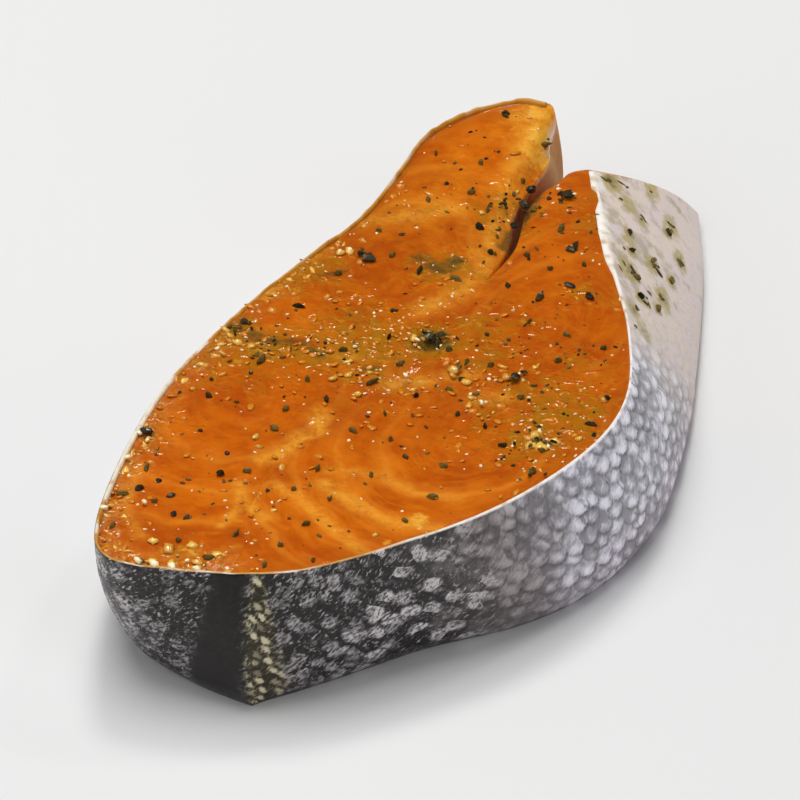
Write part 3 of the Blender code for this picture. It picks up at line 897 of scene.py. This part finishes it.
def skinFinish():
    # dark back, silver flank, pale belly, beads, ridge and cut edge, laid over one another, with painted
    # glints and painted shade in the scales' creases
    made, shader, place = newFinish("scalySkin")
    value = partial(painted, place)
    run, level, tone = value("run"), value("level"), value("tone")
    creaseAndShade, glint = value("creaseAndShade"), value("glint")
    broad, fine = noise(place, 12, 3), noise(place, 0.9, 3, 0.65)
    away = abs(run + (broad - 0.5) * 26)

    # the flank's own plane, round the fish and up it, then the same turned along the scales' lean
    metres, rise = run * 0.001, separated(place)[2]
    flat = combined(X=metres, Y=rise * 1.25)
    leant = combined(X=metres * 0.42 + rise * 0.34, Y=rise - metres * 0.70)
    # leaning strokes and sparks that shape the painted glints
    wetGlintStrokes = noise(leant, 1.1, 3, 0.6, 0.6)
    sparks = noise(leant, 0.62, 3, 0.65, 0.4)

    # dark back: painted glints, pale patches over uneven cells of random tone with dark gaps, wider further
    # from the ridge, and broken by fine leaning dashes of painted sparkle
    clouds = noise(place, 7, 3)
    patches = []
    for size, share in ((3.0, away.eased(14, 26, 1.0, 0.0)), (3.8, away.eased(14, 26))):
        cellTone, cellReach = warpedCells(flat, size)
        chosen = (cellTone * 0.50 + clouds).eased(0.58, 0.96)
        patches.append(chosen * cellReach.eased(0.66, 0.34) * share)
    lit = (patches[0] + patches[1]) * sparks.eased(0.38, 0.62, 0.14, 1.35)
    lit = lit * away.eased(6, 34, 0.45, 1.15) * run.eased(-4, 4, 0.75, 1.0)
    crispGlints = sparks.eased(0.52, 0.63) * wetGlintStrokes.eased(0.40, 0.66, 0.04, 0.80)
    # painted shade in the creases dims the glints
    lit = worked("SUBTRACT", worked("MAXIMUM", lit, crispGlints), creaseAndShade * 0.25, limited=True)
    # near-black scales under the painted glints
    dark = blend(lit, skin["darkScaleColour"], skin["glintColour"])

    # flank: each scale a little lighter or darker at random, with a painted highlight in its middle and
    # painted wet glint strokes
    toneAndHighlight = (tone * 0.35 + glint * 0.30 + wetGlintStrokes * 0.9).eased(0.45, 1.10, 0.52, 1.62)
    flank = layered(
        skin["greyScaleColour"],
        (away.eased(50, 74), skin["silverColour"]),
        (level.eased(0.45, 0.1) * away.eased(55, 80), skin["lilacColour"]),
    )
    scaleToneAndHighlight = addNode(place.tree, "CombineColor", {"Red": toneAndHighlight, "Green": toneAndHighlight, "Blue": toneAndHighlight})
    flank = blend(1.0, flank, Wire(scaleToneAndHighlight.outputs["Color"]), "MULTIPLY")
    # painted shade in the creases between scales, broken up by noise
    flank = blend(creaseAndShade * noise(place, 7, 2).eased(0.35, 0.6, 0.3, 0.9), flank, skin["creaseShadeColour"])

    # belly: pale, faintly scaled with painted shade in its creases, smudged with herb oil
    smudge = noise(place, 4.4, 4, 0.6) + level.eased(0.2, 0.9, -0.08, 0.06)
    smudge = smudge.eased(0.50, 0.66) * run.eased(125, 150)
    halo = value("halo") * noise(place, 1.8, 3, 0.6).eased(0.30, 0.62, 0.45, 1.15)
    belly = layered(
        skin["bellyColour"],
        (noise(place, 5, 4, 0.6).eased(0.30, 0.75), skin["bellyLilac"]),
        (creaseAndShade * 0.35, skin["bellyCreaseShade"]),
        (smudge * 0.5, skin["oliveSmudge"]),
        (halo.eased(0.08, 0.42, 0.0, 0.85), skin["haloColour"]),
        (halo.eased(0.48, 0.95, 0.0, 0.80), skin["oliveSmudge"]),
    )

    # beads beside the ridge, pale scales with painted glints over dark gaps, and the smooth ridge itself
    beadGlints = (glint * 1.1 + sparks * 1.7).eased(0.88, 1.60) * tone.eased(0.05, 0.7, 0.28, 1.1)
    beads = blend(beadGlints, skin["beadGap"], skin["beadGlintColour"])
    back = blend(fine.eased(0.4, 0.7), skin["backColour"], skin["backLight"])

    # cut edge: oily on the left and over the ridge, where cream patches are partly pale skin and partly
    # painted highlight, clean and pale on the right
    patchy = noise(place, 3, 2)
    midway = run.eased(-84, -74) * run.eased(-38, -46)
    byRidge = run.eased(-20, -16) * run.eased(-1, -5)
    creamAndGlint = (noise(place, 6, 3, 0.55) + midway * 0.22 + byRidge * 0.08).eased(0.50, 0.66)
    oilyTone = layered(
        skin["oilyEdgeColour"],
        (patchy.eased(0.45, 0.60), skin["oilyEdgeShade"]),
        (creamAndGlint * run.eased(-120, -96, 0.40, 0.9), skin["creamAndGlintColour"]),
    )
    edgeTone = layered(skin["cutEdgeColour"], (patchy.eased(0.45, 0.75), skin["cutEdgeShade"]),
                       (run.eased(48, 18), oilyTone))

    calmBack = 1.0 - worked("MAXIMUM", value("ridgeBand"), value("cutEdge")) * 0.88
    normal = raised(noise(place, 1.0, 3, 0.6) * calmBack, skin["bumpDepth"])
    dress(shader, {
        "Base Color": layered(
            dark,
            (away.eased(34, 56), flank),
            (away.eased(108, 132), belly),
            (value("beadBand"), beads),
            (value("ridgeBand"), back),
            (value("cutEdge"), edgeTone),
        ),
        "Roughness": fine.eased(0.3, 0.7, 0.30, 0.50),
        "Coat Weight": 0.20,
        "Coat Roughness": skin["coatRoughness"],
        "Specular IOR Level": 0.2,
        "Normal": normal,
        "Coat Normal": normal,
    })
    return made


makeSkin(skinFinish())

# Crumbs, as rows of place, direction, size and turn, with lengths in mm

def crumbRows(draw, place, up, size):
    # the columns side by side, with a seeded turn for each row
    return np.column_stack([place, up, size, draw.uniform(0, 2 * np.pi, len(place))])


def drawnSizes(draw, count, *ranges):
    # a column of even draws for each range
    return np.column_stack([draw.uniform(low, high, count) for low, high in ranges])


def leaningUp(draw, count, spread):
    # nearly upright directions: x and y from a normal spread, z of 1
    return np.column_stack([*draw.normal(0, spread, (2, count)), np.ones(count)])


def setRows(x, y, z, up, size, turn):
    # rows of crumbs that are listed and lean the same way
    return np.column_stack([x, y, z + 0 * x, *(part + 0 * x for part in up), *size, turn])


def scattered(count, seed, smallest, largest, clusters, clustered, sink=0.3, margin=1.2, lean=0.35):
    # seeded rows on the upper cut: odds rise with the width and with the clusters' blots
    draw = np.random.default_rng(seed)
    halves = []
    for side in ("right", "left"):
        along = draw.uniform(0.02, 0.985, count * 6)
        width = upperHalfWidth(side, along)
        across = margin / width + draw.uniform(0, 1, along.size) * (1 - 2 * margin / width)
        plan = upperPlan(side, along, across)
        near = blot(plan[:, 0], plan[:, 1], clusters)
        odds = ((1 - clustered) * width / 40 + clustered * near * 2.0) * 0.35
        keep = draw.uniform(0, 1, along.size) < odds
        halves.append(steakPoint(side, along[keep], across[keep], np.ones(keep.sum())))
    place = np.vstack(halves)
    place = place[draw.permutation(len(place))[:count]]
    up = leaningUp(draw, len(place), lean)
    scale = draw.uniform(0, 1, len(place))[:, None] ** 1.6
    size = np.array(smallest) * (1 - scale) + np.array(largest) * scale
    size = size * draw.uniform(0.8, 1.2, size.shape)
    place[:, 2] += size[:, 2] * (0.5 - sink)
    return crumbRows(draw, place, up, size)


def shells(draw, shape, rows, around, rings):
    # closed shells of rings by around, with a point at the top and the foot: each is stretched,
    # turned about its own upright, then stood along its row's direction, with a tone of its own
    count, each = shape.shape[:2]
    cos, sin = np.cos(rows[:, 9])[:, None], np.sin(rows[:, 9])[:, None]
    x, y, z = np.moveaxis(shape * rows[:, None, 6:9], -1, 0)
    x, y = x * cos - y * sin, x * sin + y * cos
    up = rows[:, 3:6] / np.linalg.norm(rows[:, 3:6], axis=1)[:, None]
    helper = np.where(np.abs(up[:, 2:]) > 0.95, np.array([[0.0, 1.0, 0.0]]), np.array([[0.0, 0.0, 1.0]]))
    first = np.cross(helper, up)
    first /= np.linalg.norm(first, axis=1)[:, None]
    second = np.cross(up, first)
    points = (rows[:, None, 0:3] + x[..., None] * first[:, None] + y[..., None] * second[:, None]
              + z[..., None] * up[:, None])
    starts = np.arange(count)[:, None, None] * each
    c = np.arange(around)
    last = (rings - 1) * around
    top = np.stack([c, (c + 1) % around, np.full(around, each - 2)], axis=-1)
    foot = np.stack([last + (c + 1) % around, last + c, np.full(around, each - 1)], axis=-1)
    faces = (gridFaces(rings, around, closed=True)[None] + starts).reshape(-1, 4).tolist()
    for fan in (top, foot):
        faces += (fan[None] + starts).reshape(-1, 3).tolist()
    return points.reshape(-1, 3), faces, {"tone": np.repeat(draw.uniform(0, 1, count), each)}


def crumbs(rows, seed, uneven, rings=3, around=7):
    # a small ball for each row, its points shaken in and out by the share uneven
    polar = np.linspace(0, np.pi, rings + 2)[1:-1, None]
    circle = np.arange(around) * 2 * np.pi / around
    ball = np.stack(np.broadcast_arrays(np.sin(polar) * np.cos(circle), np.sin(polar) * np.sin(circle),
                                        np.cos(polar)), axis=-1).reshape(-1, 3)
    ball = np.vstack([ball, [0, 0, 1], [0, 0, -1]]) * 0.5
    draw = np.random.default_rng(seed)
    shape = ball * draw.uniform(1 - uneven, 1 + uneven, (len(rows), len(ball), 1))
    return shells(draw, shape, rows, around, rings)


def leafBits(rows, seed, corners=7):
    # a leaf bit for each row: an uneven polygon with a narrower top and base, gently cupped
    count = len(rows)
    draw = np.random.default_rng(seed)
    angle = (np.arange(corners) + draw.uniform(-0.25, 0.25, (count, corners))) * 2 * np.pi / corners
    reach = draw.uniform(0.6, 1.15, (count, corners)) * 0.5
    ring = np.array([0.62, 1.0, 0.6])[None, :, None]
    taper = draw.uniform(0.1, 0.75, (count, 1)) * np.abs(np.cos(angle))
    x = reach[:, None] * np.cos(angle)[:, None] * ring
    y = (reach * (1 - taper) * np.sin(angle))[:, None] * ring
    z = np.broadcast_to(np.array([0.5, 0.0, -0.5])[None, :, None], x.shape)
    shape = np.stack([x, y, z], axis=-1).reshape(count, -1, 3)
    caps = np.broadcast_to(np.array([[0, 0, 0.5], [0, 0, -0.5]]), (count, 2, 3))
    shape = np.concatenate([shape, caps], axis=1)
    shape = shape + draw.uniform(-0.07, 0.07, shape.shape)
    cup = draw.uniform(-1.2, 1.6, (count, 1))
    shape[..., 2] += cup * (shape[..., 0] ** 2 + 0.4 * shape[..., 1] ** 2)
    return shells(draw, shape, rows, corners, 3)


def speckFinish(name, look, grainSize):
    # colour between two tones by crumb, mottled by noise and oiled over
    made, shader, place = newFinish(name)
    mottled = noise(place, grainSize, 3, 0.6)
    tone = painted(place, "tone") * 0.7 + mottled * 0.5
    dress(shader, {
        "Base Color": blend(tone.eased(0.25, 0.95), look["dark"], look["light"]),
        "Roughness": mottled * 0.25 + (look["roughness"] - 0.12),
        "Specular IOR Level": 0.15,
        "Coat Weight": look["coat"],
        "Coat Roughness": 0.08,
        "Normal": raised(mottled, 0.12),
    })
    return made


# Herb flakes, the solid's and finer ones round them

herbs = {
    "dark": (0.009, 0.009, 0.002),
    "light": (0.15, 0.10, 0.016),
    "coat": 0.12,
    "roughness": 0.6,
    "small": {
        "count": 300, "seed": 51, "clustered": 0.6,
        "smallest": (0.35, 0.28, 0.22), "largest": (1.5, 0.9, 0.45),
        # x, y, radius in mm and strength
        "clusters": [
            (1.6, 80, 8, 1.0), (30, 58, 9, 1.0), (-23, 67, 8, 0.8), (-31, 70, 8, 0.8), (-2, 125, 8, 0.9),
            (20, 74, 8, 0.8), (-8, 70, 9, 0.7), (-31, 34, 6, 0.6), (25, 85, 12, 0.7), (14, 120, 9, 0.6),
            (0, 131, 4, 1.0), (-1, 120, 4, 0.9),
        ],
    },
    # small heaps: x, y, radius in mm and count
    "heaps": [(1.9, 80.4, 1.7, 16), (31.0, 57.5, 3.0, 13), (-1.5, 125, 2.6, 9), (-30, 70, 3.0, 8),
              (20.3, 74.5, 1.6, 5), (9.5, 73.5, 1.6, 4), (-18.6, 99.8, 1.6, 4), (5.7, 132, 1.6, 4),
              (-23, 67, 3.0, 7), (34.5, 48, 1.6, 4)],
    "flapSpecks": 34,
}


def heapRows(draw, x, y, radius, count):
    # one heap: a normal spread of 0.6 radius on the cut
    spot = draw.normal(0, 0.6 * radius, (count, 2)) + (x, y)
    size = np.column_stack([drawnSizes(draw, count, (0.7, 1.9), (0.5, 1.1)), np.full(count, 0.5)])
    tilt = draw.normal(0, 0.5, (count, 2))
    place = np.column_stack([spot, draw.uniform(27.05, 27.5, count)])
    return crumbRows(draw, place, np.column_stack([tilt, np.ones(count)]), size)


def flapSpecks(count, seed):
    # herb specks in the smudges of the right flap's slanting belly skin, leant with it
    draw = np.random.default_rng(seed)
    share, height, _, strength = np.array(skin["smudges"]).T
    chosen = draw.choice(len(share), count, p=strength / strength.sum())
    along = np.clip(share[chosen] + draw.normal(0, 0.009, count), 0.69, 0.988)
    level = np.clip(height[chosen] + draw.normal(0, 0.05, count), 0.15, 0.96)
    ones = np.ones(count)
    here = steakPoint("right", along, ones, level)
    further = steakPoint("right", np.clip(along + 0.004, 0, 1), ones, level)
    higher = steakPoint("right", along, ones, np.clip(level + 0.02, 0, 1))
    up = np.cross(further - here, higher - here)
    up /= np.linalg.norm(up, axis=1)[:, None]
    up *= np.sign(up[:, :1])
    length = 0.7 + 2.3 * draw.uniform(0, 1, count) ** 1.3
    size = np.column_stack([length, drawnSizes(draw, count, (0.6, 1.7), (0.20, 0.35))])
    return crumbRows(draw, here + up * size[:, 2:] * 0.05, up, size)


def makeHerbs(finish):
    # the solid's flakes, heaps, small flakes and the belly's specks as one mesh of leaf bits
    draw = np.random.default_rng(54)
    heaps = [heapRows(draw, *heap) for heap in herbs["heaps"]]
    rows = np.vstack([flakePlaces(), *heaps, scattered(**herbs["small"]),
                      flapSpecks(herbs["flapSpecks"], 52)])
    points, faces, attributes = leafBits(rows, 53)
    # paler on the belly skin, and browner where the oil is thin near the back
    paler = 0.3 * (np.arange(len(rows)) >= len(rows) - herbs["flapSpecks"])
    paler = paler + 0.45 * np.clip((62 - rows[:, 1]) / 25, 0, 1)
    paler = np.repeat(paler, len(points) // len(rows))
    attributes["tone"] = attributes["tone"] * (1 - paler) + 1.15 * paler
    meshPiece("herbFlakes", points, faces, finish, attributes, flat=True)


makeHerbs(speckFinish("oiledHerbs", herbs, 0.7))

# Cracked pepper

pepper = {
    "dark": (0.008, 0.007, 0.004),
    "light": (0.050, 0.036, 0.012),
    "coat": 0.35,
    "roughness": 0.45,
    "small": {
        "count": 18, "seed": 61, "clustered": 0.6,
        "smallest": (0.8, 0.7, 0.6), "largest": (2.2, 1.8, 1.3),
        "clusters": [(-19.2, 100, 5, 1.0), (5.7, 132, 4, 1.0), (-31, 34, 4, 0.8), (0, 80, 6, 0.8)],
    },
    # bits given one by one: x, y, length, width and height in mm
    "placed": [(-18, 99.3, 2.6, 2.2, 1.5), (-19.9, 100.2, 1.6, 1.3, 1.0), (5.7, 132.5, 2.5, 1.7, 1.3),
               (-31.0, 33.7, 2.3, 1.8, 1.3), (1.6, 80.3, 2.4, 2.0, 1.0), (3.1, 81.6, 1.7, 1.4, 0.9),
               (20.1, 74.3, 2.0, 1.7, 1.2), (-14.2, 26.9, 1.6, 1.3, 1.0), (22, 103, 2.2, 1.3, 1.0),
               (17.5, 105, 2.4, 1.0, 0.8), (-29.5, 72, 1.9, 1.6, 1.1), (0.2, 126, 2.2, 1.6, 1.4),
               (-0.6, 131, 2.4, 1.5, 1.3), (1.2, 119, 1.8, 1.2, 1.0)],
}


def makePepper(finish):
    # scattered bits and listed bits as one mesh of rough balls
    x, y, length, width, height = np.array(pepper["placed"]).T
    turn = np.random.default_rng(63).uniform(0, 2 * np.pi, x.size)
    placed = setRows(x, y, 27.2 + 0.2 * height, (0.1, 0.1, 1.0), (length, width, height), turn)
    points, faces, attributes = crumbs(np.vstack([scattered(**pepper["small"]), placed]), 62, 0.22)
    meshPiece("pepperBits", points, faces, finish, attributes, flat=True)


makePepper(speckFinish("crackedPepper", pepper, 0.5))

# Garlic on the cut and along the oily edge of the back

garlic = {
    "dark": (0.58, 0.19, 0.006),
    "light": (0.86, 0.50, 0.075),
    "coat": 1.0,
    "roughness": 0.35,
    "small": {
        "count": 120, "seed": 71, "clustered": 0.95, "sink": 0.42,
        "smallest": (0.6, 0.5, 0.4), "largest": (2.3, 1.7, 1.0),
        "clusters": [
            (31, 57, 5, 1.0), (34, 60, 4, 0.9), (18, 66, 4, 1.0), (17, 74, 5, 0.8), (-31, 83, 4, 0.9),
            (-5, 65, 6, 0.7), (6, 70, 6, 0.6), (-30, 60, 5, 0.6), (34, 51, 4, 0.7), (-8, 38, 4, 0.5),
        ],
    },
    # paler chunks, listed: x, y, length, width and height in mm
    "chunks": [(-13, 2.8, 2.4, 1.6, 0.9), (-9.7, 5.3, 2.0, 1.6, 0.8), (-4.7, 4.1, 2.0, 1.4, 0.8),
               (-16.5, 4.0, 1.6, 1.4, 0.8), (-14.1, -1.8, 1.8, 1.1, 0.8), (-10.7, -1.2, 1.6, 1.2, 0.8),
               (-7.0, 1.0, 1.6, 1.2, 0.8), (-0.8, 79.0, 1.6, 1.1, 0.9), (-22.2, 100.6, 1.7, 1.2, 0.9),
               (-23.6, 99.6, 1.4, 1.1, 0.8), (18.6, 74.0, 1.6, 1.2, 0.9), (32.5, 56, 2.2, 1.8, 1.1),
               (30.0, 59.0, 2.0, 1.6, 1.0), (34.0, 58.5, 1.8, 1.4, 1.0), (9.4, 72.6, 1.8, 1.4, 1.0)],
    "edgeGrains": 74,
}


def edgeRows(count, seed):
    # grains caught along the top edge of the left flank and over the ridge
    draw = np.random.default_rng(seed)
    along = draw.uniform(0.0, 0.76, count) ** 1.15
    across = 1 - (0.9 + np.abs(draw.normal(0, 1.8, count))) / upperHalfWidth("left", along)
    place = steakPoint("left", along, across, np.ones(count)) - (0, 0, 0.2)
    up = leaningUp(draw, count, 0.5)
    return crumbRows(draw, place, up, drawnSizes(draw, count, (0.8, 3.0), (0.7, 1.9), (0.5, 1.1)))


def makeGarlic(finish):
    # scattered granules, chunks and the edge's grains as one mesh of rough balls
    x, y, length, width, height = np.array(garlic["chunks"]).T
    size = (1.2 * length, 1.2 * width, 1.1 * height)
    chunks = setRows(x, y, 26.95, (0.15, -0.1, 1.0), size, 1.3 * x)
    small = scattered(**garlic["small"])
    rows = np.vstack([small, chunks, edgeRows(garlic["edgeGrains"], 73)])
    points, faces, attributes = crumbs(rows, 72, 0.34, rings=4, around=8)
    perGrain = len(points) // len(rows)
    attributes["tone"][len(small) * perGrain:(len(small) + len(chunks)) * perGrain] += 0.35
    meshPiece("garlicGranules", points, faces, finish, attributes)


makeGarlic(speckFinish("garlicGrains", garlic, 0.8))

# Beads of oil, the small pale ones and the listed bright ones painted glints

oil = {
    "dark": (0.64, 0.20, 0.004),
    # pale tone of the small and bright beads: painted glint
    "light": (0.98, 0.86, 0.55),
    "coat": 0.45,
    "roughness": 0.35,
    "small": {
        "count": 520, "seed": 81, "clustered": 0.8, "sink": 0.40, "margin": 0.5, "lean": 0.25,
        "smallest": (0.45, 0.32, 0.24), "largest": (1.9, 1.2, 0.55),
        "clusters": [
            (-24, 0, 7, 1.0), (-29, 12, 6, 1.0), (-31, 26, 6, 0.9), (-10, -2, 5, 1.0), (-3, 4, 5, 0.8),
            (-32, 50, 6, 0.7), (-31, 70, 8, 0.9), (-28, 95, 6, 0.6), (0, 75, 16, 0.9), (28, 62, 12, 0.9),
            (-22, 120, 8, 0.4), (-8, 20, 5, 0.5), (20, 72, 8, 0.9), (-14, 71, 8, 0.9),
        ],
    },
    # painted glints: pale beads that stand for the brightest highlights
    # bright beads, listed: x, y and length in mm
    "glintBeads": [
        (-13.2, -2.7, 2.3), (-10.2, -2.2, 2.1), (-16.2, -2.8, 1.8), (-6.2, -1.2, 1.7), (-28, 9.7, 1.6),
        (-22.5, 13.9, 1.2), (-30.8, 25.3, 1.4), (-32, 33, 1.3), (-8.6, 0.4, 1.0), (0, 78.6, 1.1),
        (-22.2, 100.8, 1.3), (-23.6, 99.6, 1.0), (9.4, 72.4, 1.2), (17.9, 64.6, 1.2), (20.3, 75.4, 0.9),
        (-30.5, 62.5, 1.1), (-28.4, 66.2, 0.9), (-29.8, 31.5, 1.1), (3.6, 133.5, 1.0), (6.8, 133, 0.9),
        (2.6, 67.4, 1.3), (30.4, 60.2, 1.1), (33.6, 56.4, 1.0), (-17.2, 71, 1.0), (-9, 72.4, 0.9),
    ],
}


def makeOil(finish):
    # scattered beads and listed bright ones as one mesh of smooth balls
    x, y, length = np.array(oil["glintBeads"]).T
    glintBeads = setRows(x, y, 27.25, (0.1, -0.2, 1.0), (length, 0.6 * length, 0.5 * length), x)
    rows = np.vstack([scattered(**oil["small"]), glintBeads])
    points, faces, attributes = crumbs(rows, 82, 0.22, rings=4, around=8)
    # small beads are paler, and the listed bright ones are palest
    # the pale tone is painted glint
    paler = np.clip((1.05 - rows[:, 6]) / 0.25, 0, 1)
    paler = paler * np.random.default_rng(83).uniform(0.4, 1.2, len(rows))
    paler[-x.size:] = 1.2
    attributes["tone"] = np.repeat(paler, len(points) // len(rows))
    meshPiece("oilAndGlintBeads", points, faces, finish, attributes)


makeOil(speckFinish("amberOilAndGlints", oil, 1.2))

# Floor, lights, camera

studio = {
    "floorReach": 8.0,      # metres each way from the middle
    "floorColour": (0.77, 0.772, 0.785),
    "floorCloud": (0.785, 0.787, 0.80),
    "roomLight": (0.035, 0.035, 0.037, 1),
    "backdrop": (0.83, 0.83, 0.84, 1),
    "lamps": {
        "overhead": {"at": (-0.22, 0.0, 1.30), "size": 0.90, "power": 10.8, "colour": (1.0, 0.99, 0.97)},
        "frontFill": {"at": (-0.5, -1.6, 1.0), "size": 1.9, "power": 9.5, "colour": (1.0, 0.99, 0.98)},
        "leftFill": {"at": (-1.5, -0.3, 0.8), "size": 1.6, "power": 4.2, "colour": (1.0, 1.0, 1.0)},
        "rightFill": {"at": (1.5, -0.7, 0.9), "size": 1.6, "power": 7.5, "colour": (0.98, 0.99, 1.0)},
        "glintBack": {"at": (-0.25, 0.50, 1.20), "size": 0.28, "power": 4.2, "colour": (1.0, 1.0, 0.95)},
        "glintRight": {"at": (0.35, 0.85, 1.15), "size": 0.16, "power": 1.1, "colour": (1.0, 1.0, 0.95)},
    },
    "lampTarget": (0, 0, 0.02),
    "camera": (0.675969, -1.608274, 1.1409),
    "lookAt": (-0.0086, -0.0040, 0.012),
    "lens": 540,
}


def addToScene(name, data):
    # a new object of this mesh, lamp or camera
    made = bpy.data.objects.new(name, data)
    bpy.context.scene.collection.objects.link(made)
    return made


def aimed(name, data, at, target):
    # an object whose own -Z points from its place to the target
    made = addToScene(name, data)
    made.location = at
    made.rotation_euler = (Vector(target) - Vector(at)).to_track_quat("-Z", "Y").to_euler()
    return made


def makeStudio():
    # a square floor, lamps aimed at the steak, an even room and the photo's camera
    reach = studio["floorReach"]
    mesh = bpy.data.meshes.new("paleFloor")
    mesh.from_pydata([(-reach, -reach, 0), (reach, -reach, 0), (reach, reach, 0), (-reach, reach, 0)],
                     [], [(0, 1, 2, 3)])
    made, shader, place = newFinish("paleFloorPaint")
    cloudy = noise(place, 400, 2).eased(0.3, 0.7)
    dress(shader, {
        "Base Color": blend(cloudy, studio["floorColour"], studio["floorCloud"]),
        "Roughness": 0.8,
        "Specular IOR Level": 0.2,
    })
    mesh.materials.append(made)
    floor = addToScene("paleFloor", mesh)

    for name, setup in studio["lamps"].items():
        lamp = bpy.data.lights.new(name, "AREA")
        lamp.shape = "DISK"
        lamp.size = setup["size"]
        lamp.energy = setup["power"]
        lamp.color = setup["colour"]
        aimed(name, lamp, setup["at"], studio["lampTarget"])

    world = bpy.data.worlds.new("softRoom")
    world.use_nodes = True
    seen = Wire(addNode(world.node_tree, "LightPath", {}).outputs["Is Camera Ray"])
    room = blend(seen, studio["roomLight"], studio["backdrop"])
    dress(world.node_tree.nodes["Background"], {"Color": room})
    bpy.context.scene.world = world

    lens = bpy.data.cameras.new("productCamera")
    lens.lens = studio["lens"]
    lens.sensor_width = 36
    lens.clip_start = 0.05
    lens.clip_end = 50
    bpy.context.scene.camera = aimed("productCamera", lens, studio["camera"], studio["lookAt"])
    bpy.context.scene.view_settings.view_transform = "Standard"
    print("studio done")


makeStudio()
